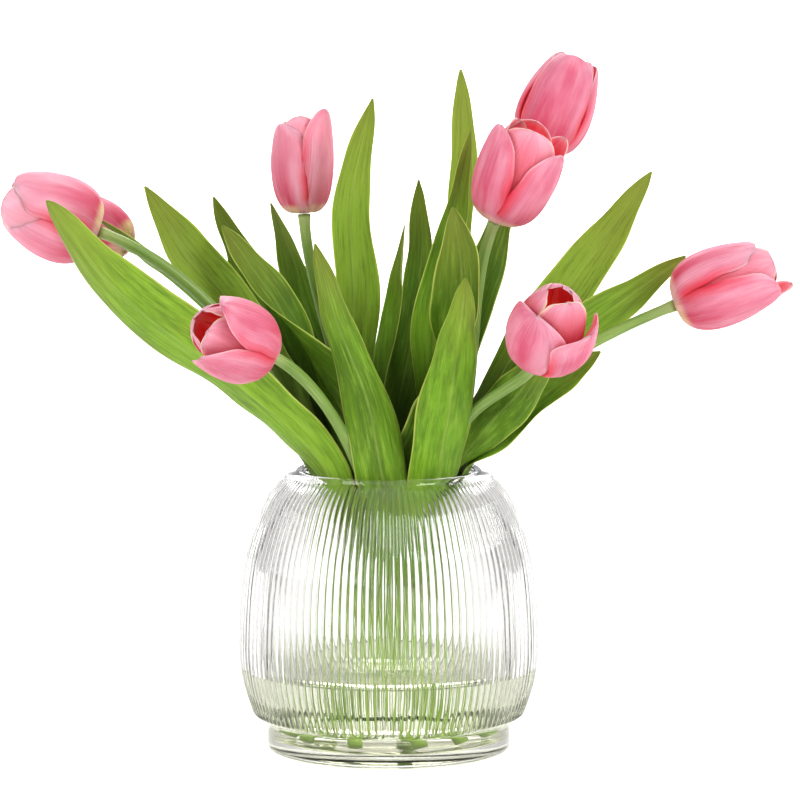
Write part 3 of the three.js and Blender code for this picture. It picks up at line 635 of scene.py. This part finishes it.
def tepal_material():
    """Pink outside and coral inside, with painted red shade along the seams between the tepals. A
    painted glow stands in for light through the thin petals: strongest inside and at the seams, and
    faint all over."""
    shader = Shader("tulip tepal", Roughness=0.5, Specular_IOR_Level=0.25, Subsurface_Weight=0.5,
                    Subsurface_Scale=0.004, Subsurface_Radius=(1.0, 0.4, 0.45), Sheen_Weight=0.1,
                    Sheen_Tint=(1.0, 0.5, 0.6, 1), Specular_Tint=(1.0, 0.6, 0.7, 1))
    inward = shader.inward()
    along = shader.across_and_along()[1]
    inside = shader.mark("inside")
    streaks = shader.grain(46, 1.6, detail=4)
    broad = shader.grain(4, 1.8, detail=3)
    # Where the tepals meet low down, for painted red shade and painted glow
    seam_shade_and_glow = shader.times(shader.level(inward, 0.28, 0.0), shader.level(along, 0.75, 0.35))
    seam_shade_and_glow = shader.times(seam_shade_and_glow, shader.level(along, 0.11, 0.2))
    outside = tepal_outside(shader, inward, along, streaks, broad, seam_shade_and_glow)
    shader.shade("Base Color", shader.mix(inside, outside, tepal_inside(shader, inward, along, streaks)))
    # Painted glow: emission in place of light shining through the petals, mostly inside and at the seams,
    # and a little everywhere to tint their shade
    shader.shade("Emission Color", shader.ramp(along, [
        (0.1, (0.95, 0.22, 0.05)), (0.5, (0.95, 0.06, 0.06)), (1.0, (0.95, 0.25, 0.28)),
    ]))
    painted_glow = shader.times(inside, shader.level(along, 1.0, 0.4, 0.02, 0.08))
    painted_glow = shader.maths("ADD", painted_glow, shader.times(seam_shade_and_glow, 0.06))
    shader.shade("Emission Strength", shader.maths("ADD", painted_glow, 0.025))
    shader.bump(shader.maths("ADD", streaks, shader.times(broad, 1.2)), 0.0009, 0.9)
    return shader.material


def stem_material():
    """Grey-green with faint long streaks, lime green in the vase and paler towards the bloom."""
    shader = Shader("tulip stem", Roughness=0.4, Subsurface_Weight=0.15, Subsurface_Scale=0.002,
                    Subsurface_Radius=(0.6, 1.0, 0.3))
    cool_green = (0.13, 0.25, 0.05)
    lime = (0.26, 0.42, 0.03)
    pale_green = (0.46, 0.52, 0.22)
    along = shader.across_and_along()[1]
    streaks = shader.grain(16, 9, detail=3)
    broad = shader.grain(2, 5, detail=2)
    colour = shader.ramp(streaks, [(0.3, (0.15, 0.24, 0.045)), (0.55, (0.22, 0.32, 0.075)),
                                   (0.75, (0.34, 0.43, 0.15))])
    colour = shader.over(colour, cool_green, broad, 0.4, 0.7, 0.4)
    colour = shader.over(colour, lime, along, 0.45, 0.15, 0.8)
    colour = shader.over(colour, pale_green, along, 0.94, 1.0, 0.6)
    shader.shade("Base Color", colour)
    shader.bump(streaks, 0.0003, 0.4)
    return shader.material


def pistil_material():
    """A pale green pistil, and stamens that are dark purple at their tips."""
    shader = Shader("pistil and stamens", Roughness=0.6)
    purple = (0.10, 0.03, 0.05)
    grain = shader.grain(8, 8, detail=3, scale=4.0)
    colour = shader.ramp(grain, [(0.3, (0.50, 0.55, 0.16)), (0.7, (0.68, 0.70, 0.30))])
    shader.shade("Base Color", shader.mix(shader.mark("tip"), colour, purple))
    return shader.material


def clear_material(name, colour, groove_shade_colour, ior, roughness, ripple):
    """A clear shader with painted shade in its grooves, and whose shadows let light through."""
    shader = Shader(name, Roughness=roughness, IOR=ior, Transmission_Weight=1.0)
    # Painted shade in the grooves of the glass
    groove_shade = shader.level(shader.mark("groove"), 0.1, 0.8)
    shader.shade("Base Color", shader.mix(groove_shade, colour, groove_shade_colour))
    where = shader.node("ShaderNodeTexCoord").outputs["Object"]
    shader.bump(shader.noise(where, scale=35.0, detail=2), 0.0006, ripple)
    clear = shader.node("ShaderNodeBsdfTransparent", {"Color": (*colour, 1)}).outputs[0]
    shadow = shader.node("ShaderNodeLightPath").outputs["Is Shadow Ray"]
    both = shader.node("ShaderNodeMixShader", {0: shadow, 1: shader.bsdf.outputs[0], 2: clear})
    shader.feed(shader.tree.nodes["Material Output"].inputs["Surface"], both.outputs[0])
    return shader.material


def glass_material():
    """Clear pressed glass with a faint ripple."""
    return clear_material("pressed glass", colour=(0.935, 0.93, 0.92), groove_shade_colour=(0.74, 0.725, 0.70),
                          ior=1.5, roughness=0.04, ripple=0.15)


def water_material():
    """Still water with a faint green tint."""
    tint = (0.865, 0.89, 0.75)
    return clear_material("still water", colour=tint, groove_shade_colour=tint,
                          ior=1.333, roughness=0.0, ripple=0.0)


def floor_material():
    return Shader("floor", Roughness=0.7, Base_Color=(0.9, 0.9, 0.9, 1)).material


# The vase and its water
def inside_outline(extra=0.0):
    """The inside of the vase from the middle of its floor to its rim. extra moves it out."""
    line = spaced(spline(BELL, centripetal=False), INSIDE_ROWS)
    tangent = tangents_of(line)
    wall = VASE_WALL - extra
    inner = np.stack([line[:, 0] - wall * tangent[:, 1], line[:, 1] + wall * tangent[:, 0]], -1)
    inner = inner[(inner[:, 1] > FLARE_TOP) & (inner[:, 1] < VASE_HEIGHT - 4)]
    foot = FOOT_RADIUS - FOOT_WALL + extra
    middle = foot - INNER_CORNER
    bottom = FLOOR_THICKNESS + INNER_CORNER
    corner = [(middle + INNER_CORNER * sin(a), bottom - INNER_CORNER * cos(a) - extra)
              for a in np.linspace(0, pi / 2, 5)]
    flare = bezier([(foot, FOOT_HEIGHT - 1), (foot + 1, FOOT_HEIGHT + 3), (FOOT_RADIUS + 3, FOOT_HEIGHT + 6),
                    inner[0]], np.linspace(0.1, 0.9, 7))
    return np.vstack([corner, flare, inner])


def foot_outline():
    """The foot, from the middle of its hollow underside to the step below the bell."""
    ring = FOOT_RADIUS - FOOT_FILLET
    rounding = np.linspace(0.3, pi / 2, 5)
    underside = [(AXIS_GAP, UNDERSIDE), (ring - 6, UNDERSIDE), (ring - 5, 0.15), (ring - 4.5, 0), (ring, 0)]
    fillet = [(FOOT_RADIUS - FOOT_FILLET * (1 - sin(a)), FOOT_FILLET * (1 - cos(a))) for a in rounding]
    side = [(FOOT_RADIUS, FOOT_HEIGHT * 0.5), (FOOT_RADIUS, FOOT_HEIGHT - 1.5),
            (FOOT_RADIUS + 0.5, FOOT_HEIGHT - 0.3)]
    return underside + fillet + side


def bell_outline():
    """The bell, from its rounded shoulder over the foot to below its lip. Its points lie closer
    together at its ends."""
    line = spaced(spline(BELL, centripetal=False), BELL_STEPS)
    closer_at_ends = (1 - np.cos(np.linspace(0, pi, BELL_ROWS))) / 2 * (len(line) - 1)
    line = line[closer_at_ends.astype(int)][1:]
    shoulder = bezier([(FOOT_RADIUS + 0.5, FOOT_HEIGHT - 0.3), (FOOT_RADIUS + 3, FOOT_HEIGHT + 0.5),
                       (75, 18.6), line[0]], np.linspace(0.2, 0.85, 5))
    return np.vstack([shoulder, line[line[:, 1] < VASE_HEIGHT - 2.2]])


def lip_outline():
    """The rounded rim, from its outer side to its inner side."""
    half = VASE_WALL / 2
    middle = RIM_RADIUS - half
    low = VASE_HEIGHT - LIP_HEIGHT
    return [(middle + half * cos(a), low + LIP_HEIGHT * sin(a)) for a in np.linspace(0, pi, 7)]


def build_vase(material):
    """The ribs fade out over the foot and below the lip. The mark groove puts painted shade in the grooves
    and makes the foot duller.
    """
    outer = np.vstack([foot_outline(), bell_outline()])
    above_foot = smooth((outer[:, 1] - FOOT_HEIGHT - 1) / 4)
    below_lip = smooth((VASE_HEIGHT - 2 - outer[:, 1]) / 5)
    ribs = RIB_DEPTH * above_foot * below_lip
    profile = np.vstack([outer, lip_outline(), inside_outline()[::-1], [(AXIS_GAP, FLOOR_THICKNESS)]])
    ribs = np.r_[ribs, np.zeros(len(profile) - len(ribs))]
    vertices, faces, groove = lathe(profile, RIBS * RIB_STEPS, ribs)
    # The foot gets half the groove mark, which darkens it
    groove = np.where(vertices[:, 2] < FOOT_HEIGHT - 1, 0.5, groove)
    piece = make_piece("vase_glass", vertices, faces, material, marks=dict(groove=groove))
    settle(piece, "glass", "vase")


def build_water(material):
    """Water that wets the glass, so its side lies just within the wall's inner face."""
    side = inside_outline(extra=WATER_SPREAD)
    side = side[side[:, 1] < WATER_LEVEL]
    edge = side[-1][0]
    meniscus = [(edge, WATER_LEVEL + MENISCUS), (edge - 0.5, WATER_LEVEL + MENISCUS / 2),
                (edge - 1.3, WATER_LEVEL + 0.12), (edge - 3, WATER_LEVEL)]
    bottom = [(AXIS_GAP, FLOOR_THICKNESS - WATER_SPREAD)]
    surface = [(AXIS_GAP, WATER_LEVEL)]
    profile = np.vstack([bottom, side, meniscus, surface])
    vertices, faces, _ = lathe(profile, WATER_SIDES)
    piece = make_piece("water_body", vertices, faces, material)
    settle(piece, "water", "water")


# Stems
def stem_line(key):
    """The stem's middle line, from its foot on the vase's floor to its bloom."""
    stem = {**STEM_DEFAULTS, **STEMS[key]}
    neck = polar(stem["ring"], stem["neck"], NECK_HEIGHT)
    foot = polar(STEM_FOOT_RING, stem["neck"] + 180 - CROSSING_ANGLE, STEM_FOOT_HEIGHT)
    top = np.array(stem["top"], float)
    axis = unit(stem["axis"])
    lean = unit(neck - foot)
    share = np.linspace(0, 1, STEM_STEPS)
    parts = [foot + (neck - foot) * share[:-1, None]]
    if "via" in stem:
        via = np.array(stem["via"], float)
        way = unit(top - neck)
        first = np.linalg.norm(via - neck)
        second = np.linalg.norm(top - via)
        parts.append(bezier([neck, neck + lean * first * 0.8 / 3, via - way * first / 3, via], share[:-1]))
        parts.append(bezier([via, via + way * second / 3, top - axis * second / 3, top], share))
    else:
        span = np.linalg.norm(top - neck) / 3
        parts.append(bezier([neck, neck + lean * span * stem["bow"], top - axis * span, top], share))
    return np.vstack(parts)


def build_stem(key, seed, material):
    line = spaced(stem_line(key), STEM_ROWS)
    share = np.linspace(0, 1, len(line))
    radius = STEM_RADIUS_AT_FOOT + (STEM_RADIUS_AT_BLOOM - STEM_RADIUS_AT_FOOT) * share
    radius = radius + STEM_UNEVENNESS * np.sin(share * 23 + seed)
    radius = radius + STEM_HEAD_SWELLING * smooth((share - 0.975) / 0.025)
    patchwork = Patchwork()
    vertices, faces, place = tube(line, radius, STEM_SIDES)
    patchwork.add(vertices, faces, place, seed=seed)
    settle(patchwork.piece(f"tulip_{key}_stalk", material), "stem", f"tulip_{key}_stem")


# Leaves
def leaf_line(leaf, key):
    """The leaf's middle line: up its stem, through the neck and out along its points."""
    line = spaced(stem_line(key), LEAF_STEPS)
    start = int(np.argmax(line[:, 2] >= leaf["root"]))
    root = line[start]
    tangent = unit(line[start + 1] - line[start - 1])
    inside = leaf["inner"] or leaf["ring"] <= STEM_RING
    sign = -1 if inside else 1

    def seat_off(spot, distance):
        return spot + square_to(np.array([spot[0], spot[1], 0.0]), tangent) * distance * sign

    second = root + tangent * CLASP_LENGTH
    points = [seat_off(root, LEAF_SEAT), seat_off(second, LEAF_SEAT + leaf["lift"]),
              polar(leaf["ring"], leaf["azimuth"], NECK_HEIGHT + 1), *leaf["via"]]
    return spline(points)


def leaf_frames(leaf, line):
    """Which way the hollow side looks: to the vase's axis up to the neck, then it turns to the
    leaf's own face."""
    count = len(line)
    tangent = tangents_of(line)
    front = square_to(FORWARD * np.ones((count, 1)), tangent)
    across = np.cross(tangent, front)
    inward = square_to(-line * np.array([1.0, 1.0, 0.0]), tangent)
    turn = np.degrees(np.arctan2((inward * across).sum(1), (inward * front).sum(1))) + leaf["lean"]
    neck = int(np.argmin(np.abs(line[:, 2] - NECK_HEIGHT)))
    above = np.clip((np.arange(count) - neck) / (count - 1 - neck), 0, 1)
    halfway, halfway_turn = leaf.get("turn_by", (1, leaf["face"]))
    rise = turn[neck] + shortest_turn(turn[neck], halfway_turn) * smooth(above / halfway)
    if halfway < 1:
        rise = rise + shortest_turn(halfway_turn, leaf["face"]) * smooth((above - halfway) / (1 - halfway))
    turn = np.radians(np.where(np.arange(count) < neck, turn, rise))[:, None]
    face = front * np.cos(turn) + across * np.sin(turn)
    return np.cross(face, tangent), face


def leaf_grid(leaf, key):
    """Points over a leaf: an arc across its line, rolled round the stem at its base, with a
    shallow gutter further up and waved edges."""
    line = spaced(leaf_line(leaf, key), LEAF_STEPS)
    side, face = leaf_frames(leaf, line)
    steps = np.arange(LEAF_STEPS)
    pick = np.linspace(0, LEAF_STEPS - 1, LEAF_ROWS + 1)
    line, side, face = (np.stack([np.interp(pick, steps, part[:, axis]) for axis in range(3)], -1)
                        for part in (line, side, face))
    share = np.linspace(0, 1, LEAF_ROWS + 1)
    half = leaf["width"] / 2 * outline_share(share, 0.1, leaf["belly"], leaf["point"])
    half = np.maximum(half, LEAST_LEAF_HALF)
    base_curl = radians(leaf.get("curl", CURL_OUTSIDE if leaf["ring"] > STEM_RING else CURL_INSIDE))
    gutter = radians(leaf["gutter"])
    open_share = np.clip(share / 0.25, 0, 1)
    curl = np.minimum(base_curl + (gutter - base_curl) * open_share, half / (LEAF_SEAT + 0.4))[:, None]
    across = np.linspace(-1, 1, LEAF_COLUMNS + 1)[None, :]
    sideways = half[:, None] * np.sin(curl * across) / curl
    raised = half[:, None] * (1 - np.cos(curl * across)) / curl
    above_neck = np.clip((share - 0.3) / 0.2, 0, 1)
    below_tip = np.clip((1 - share) / 0.15, 0, 1)
    fade = (above_neck * below_tip)[:, None]
    shift, wave = leaf_waves(share[:, None], across, leaf["width"])
    sideways = sideways + fade * shift
    raised = raised + fade * wave + leaf_relief(share[:, None], across, leaf["width"])
    return line[:, None] + side[:, None] * sideways[..., None] + face[:, None] * raised[..., None]


def leaf_waves(share, across, seed):
    """How far a leaf's edges wave sideways and out of its face, in millimetres."""
    right = smooth(across * 3 + 0.5)
    along = 2 * pi * share
    sway = across * np.abs(across) * np.sin(1.6 * along + seed * 2 + right * 0.9)
    frill = across * np.abs(across) ** 3 * np.sin(4.6 * along + 1.5 * np.sin(along) + seed + right * 2)
    wave = across ** 2 * np.sin(2.2 * along + seed + right * 1.9)
    return LEAF_SWAY * sway + LEAF_FRILL * frill, LEAF_WAVE * wave


def leaf_relief(along, across, seed):
    """A groove down a leaf's middle, fine waves on its margins and soft dents, in millimetres."""
    away_from_ends = np.sin(pi * along)
    groove = -LEAF_GROOVE * np.exp(-(across / 0.1) ** 2) * away_from_ends ** 0.5
    phase = 2 * pi * 4.5 * along + seed + 2 * np.sin(9 * along + seed) + 3 * (across > 0)
    ripple = LEAF_RIPPLE * np.abs(across) ** 4 * np.sin(phase) * away_from_ends
    dents = np.sin(5 * across + 11 * along + seed) * np.sin(23 * along + 2 * seed) * away_from_ends
    return groove + ripple + LEAF_DENTS * dents


def build_leaf(name, seed, material):
    """A blade whose mark depth is painted shade, stronger the further down and back in the bunch each point
    is.
    """
    key, number = name.split("_")
    leaf = {**LEAF_DEFAULTS, **LEAVES[name]}
    patchwork = Patchwork()
    grid = leaf_grid(leaf, key)
    height = grid[..., 2].ravel()
    back = grid[..., 1].ravel()
    low = smooth((BUNCH_TOP - height) / 80)
    behind = smooth((back - BUNCH_FRONT) / 45)
    depth = DEPTH_PAINTED_SHADE * low * behind * (height > NECK_HEIGHT - 40)
    blade(patchwork, grid, LEAF_THICKNESS, seed=seed, shade=leaf["shade"], depth=np.r_[depth, depth])
    settle(patchwork.piece(f"tulip_{key}_blade_{number}", material), "leaf", f"tulip_{key}_leaf_{number}")


# Blooms
def tepal_grid(bloom, index, seed):
    """Points over a tepal in its bloom's own frame, with Z along the bloom."""
    kind = OUTER_TEPAL if index % 2 == 0 else INNER_TEPAL
    tepal = {**TEPAL_DEFAULTS, "mouth": bloom["mouth"], **bloom["tepals"].get(index, {})}
    share = np.sin(np.linspace(0, pi / 2, TEPAL_ROWS + 1))
    profile = tepal_profile(bloom, tepal, kind, share)
    width = bloom["width"] * kind["half"] * tepal["width"]
    half = np.maximum(width * tepal_outline(share, tepal["point"], seed), LEAST_HALF_WIDTH)[:, None]
    bend = np.maximum(profile[:, 0], LEAST_BEND)[:, None]
    spread = np.minimum(half / bend, MOST_SPREAD)
    side = np.linspace(-1, 1, TEPAL_COLUMNS + 1)[None, :]
    along = share[:, None]
    lateral = half * np.sin(spread * side) / spread
    hug = kind["hug"] * np.abs(side) ** 2.5 * smooth(along / 0.25)
    tip_out = smooth((along - 0.75) / 0.25) * (0.7 + 1.4 * np.abs(side) ** 4)
    away = profile[:, 0][:, None] - bend * (1 - np.cos(spread * side)) - (hug - tip_out)
    away = away + tepal_relief(along, side, seed)
    height = profile[:, 1][:, None]
    azimuth = bloom["turn"] + index * TEPAL_STEP + tepal["shift"]
    outward = polar(1, azimuth, 0)
    sideways = polar(1, azimuth + 90, 0)
    return outward * away[..., None] + sideways * lateral[..., None] + UP * height[..., None]


def tepal_profile(bloom, tepal, kind, share):
    """How far out and how high a tepal's middle line is."""
    radius = bloom["width"] / 2 + kind["out"]
    length = bloom["length"] * tepal["length"]
    start = kind["start"]
    low = (bloom["flare"] * radius, start[1] - 0.03 * length)
    high = (tepal["bow"] * radius, 0.72 * length)
    return bezier([start, low, high, (tepal["mouth"] * radius, length)], share)


def tepal_outline(share, point, seed):
    """A tepal's half width along its length, as a share of its greatest, with uneven edges."""
    uneven = 1 + 0.03 * np.sin(9 * share + seed) + 0.016 * np.sin(25 * share + 3 * seed)
    return outline_share(share, 0.09, 0.75, point) * uneven


def tepal_relief(along, side, seed):
    """How a tepal bulges in and out, in millimetres: a groove down its middle, soft swellings,
    pleats and a waved margin."""
    above_claw = smooth(along / 0.3)
    groove = -TEPAL_GROOVE * np.exp(-(side / 0.12) ** 2) * np.sin(pi * along) ** 1.5
    swell = TEPAL_SWELLING * np.sin(4.2 * side + seed) * np.sin(5.5 * along + 2 * seed) * above_claw
    pleats = TEPAL_PLEATS * np.sin(13 * side + 2.5 * np.sin(3 * along + seed)) * above_claw
    phase = 2 * pi * (1.5 + 0.3 * np.sin(seed * 3)) * along + seed + smooth(side * 3 + 0.5) * 2.1
    margin = TEPAL_MARGIN * np.abs(side) ** 3 * along * np.sin(phase)
    return groove + swell + pleats + margin


def bloom_frame(key):
    """Rows are the bloom's own X, Y and Z in the object's frame, and then its foot."""
    stem = STEMS[key]
    along = unit(stem["axis"])
    front = square_to(FORWARD, along)
    side = np.cross(along, front)
    return np.stack([front, side, along]), np.array(stem["top"], float) + along * BLOOM_LIFT


def upright_line(heights):
    """A straight line along a bloom's own Z."""
    return np.asarray(heights)[:, None] * UP


def build_bloom(key, seed, material):
    """Six tepals round a small cup that sits on the stem's head."""
    bloom = {**BLOOM_DEFAULTS, **BLOOMS[key]}
    axes, foot = bloom_frame(key)
    patchwork = Patchwork()
    cup_radii = np.array([3.0, 4.6, 6.0, 4.6])
    cup_heights = np.array([-0.7, 0.1, 1.2, 2.6])
    vertices, faces, place = tube(upright_line(cup_heights), cup_radii, CUP_SIDES)
    patchwork.add(vertices @ axes + foot, faces, place * 0.03, inside=0.0, seed=seed, inner=0, pale=0)
    for index in range(TEPALS):
        own_seed = seed + index * 0.37
        grid = tepal_grid(bloom, index, own_seed * 5) @ axes + foot
        # inner is how strong the painted red shade on an inner tepal's covered part is, 0 on outer tepals
        inner = index % 2 * bloom["deep"]
        pale = bloom["pale"] + index % 2 * np.repeat(np.linspace(0, 0.3, len(grid)), grid.shape[1])
        blade(patchwork, grid, TEPAL_THICKNESS, seed=own_seed, inner=inner, pale=np.r_[pale, pale])
    settle(patchwork.piece(f"tulip_{key}_tepals", material), "tepal", f"tulip_{key}_bloom")


def build_pistil(key, seed, material):
    """The pistil, with six stamens round it between the tepals."""
    axes, foot = bloom_frame(key)
    height = BLOOMS[key]["length"] * PISTIL_SHARE
    base = 3.5
    patchwork = Patchwork()
    heights = np.array([0, 1, 4, height * 0.5, height - base - 3, height - base - 1, height - base])
    radii = np.array([3.4, 2.6, 2.3, 2.2, 2.1, 2.9, 2.4])
    vertices, faces, place = tube(upright_line(base + heights), radii, STYLE_SIDES)
    patchwork.add(vertices @ axes + foot, faces, place, seed=seed, tip=0.0)
    for index in range(TEPALS):
        azimuth = BLOOMS[key]["turn"] + (index + 0.5) * TEPAL_STEP
        reach = np.linspace(0, height * 0.78, STAMEN_ROWS)
        line = np.stack([polar(2.6 + along * 0.16, azimuth, base + 0.4 + along) for along in reach])
        anther = reach > height * 0.42
        vertices, faces, place = tube(line, np.where(anther, 0.95, 0.5), STAMEN_SIDES)
        tip = np.repeat(anther, STAMEN_SIDES).astype(float)
        patchwork.add(vertices @ axes + foot, faces, place, seed=seed + index, tip=tip)
    settle(patchwork.piece(f"tulip_{key}_heart", material), "pistil", f"tulip_{key}_pistil")


# The stage, with the lights placed in metres
def build_floor():
    reach = 15 / MM
    corners = [(x * reach, y * reach, 0) for x, y in ((-1, -1), (1, -1), (1, 1), (-1, 1))]
    floor = make_piece("floor", corners, [(0, 1, 2, 3)], floor_material())


def build_world():
    """White light from all round, dimmer from the sides, which shades the edges of the glass."""
    world = bpy.data.worlds.new("studio")
    world.use_nodes = True
    nodes = world.node_tree.nodes
    links = world.node_tree.links
    direction = nodes.new("ShaderNodeSeparateXYZ")
    links.new(nodes.new("ShaderNodeTexCoord").outputs["Generated"], direction.inputs[0])
    sideways = nodes.new("ShaderNodeMath")
    sideways.operation = "ABSOLUTE"
    links.new(direction.outputs["X"], sideways.inputs[0])
    dimmed = nodes.new("ShaderNodeMapRange")
    dimmed.interpolation_type = "SMOOTHSTEP"
    for socket, value in (("From Min", 0.45), ("From Max", 0.95), ("To Min", 0.78), ("To Max", 0.45)):
        dimmed.inputs[socket].default_value = value
    links.new(sideways.outputs[0], dimmed.inputs["Value"])
    links.new(dimmed.outputs["Result"], nodes["Background"].inputs["Strength"])
    nodes["Background"].inputs["Color"].default_value = (1, 1, 1, 1)
    bpy.context.scene.world = world


def add_light(name, place, target, size, power):
    lamp = bpy.data.lights.new(name, "AREA")
    lamp.shape = "SQUARE"
    lamp.size = size
    lamp.energy = power
    holder = bpy.data.objects.new(name, lamp)
    holder.location = place
    holder.rotation_euler = (Vector(target) - Vector(place)).to_track_quat("-Z", "Y").to_euler()
    bpy.context.scene.collection.objects.link(holder)


def build_lights():
    low_in_bouquet = (0, 0, 0.2)
    add_light("key", (1.6, -1.2, 1.35), low_in_bouquet, size=0.9, power=25)
    add_light("fill", (-1.4, -1.3, 0.9), low_in_bouquet, size=1.0, power=14)
    add_light("backdrop", (0, 5.5, 2.6), (0, 5.5, 0), size=6.0, power=420)
    bpy.context.scene.view_settings.view_transform = "Standard"
    bpy.context.scene.view_settings.look = "Medium High Contrast"


def build_camera():
    camera = bpy.data.cameras.new("camera")
    camera.sensor_width = CAMERA_SENSOR
    camera.lens = CAMERA_LENS
    holder = bpy.data.objects.new("camera", camera)
    holder.location = CAMERA_PLACE
    holder.rotation_euler = (radians(90 - CAMERA_DIP), 0, 0)
    bpy.context.scene.collection.objects.link(holder)
    bpy.context.scene.camera = holder


glass = glass_material()
water = water_material()
leaf_skin = leaf_material()
tepal_skin = tepal_material()
stem_skin = stem_material()
pistil_skin = pistil_material()

build_camera()
build_floor()
build_world()
build_lights()
build_vase(glass)
build_water(water)
for order, key in enumerate(STEMS):
    build_stem(key, order * 1.7, stem_skin)
    build_bloom(key, order * 2.3 + 0.5, tepal_skin)
    build_pistil(key, order * 1.1, pistil_skin)
for order, name in enumerate(LEAVES):
    build_leaf(name, order * 1.31 + 0.2, leaf_skin)
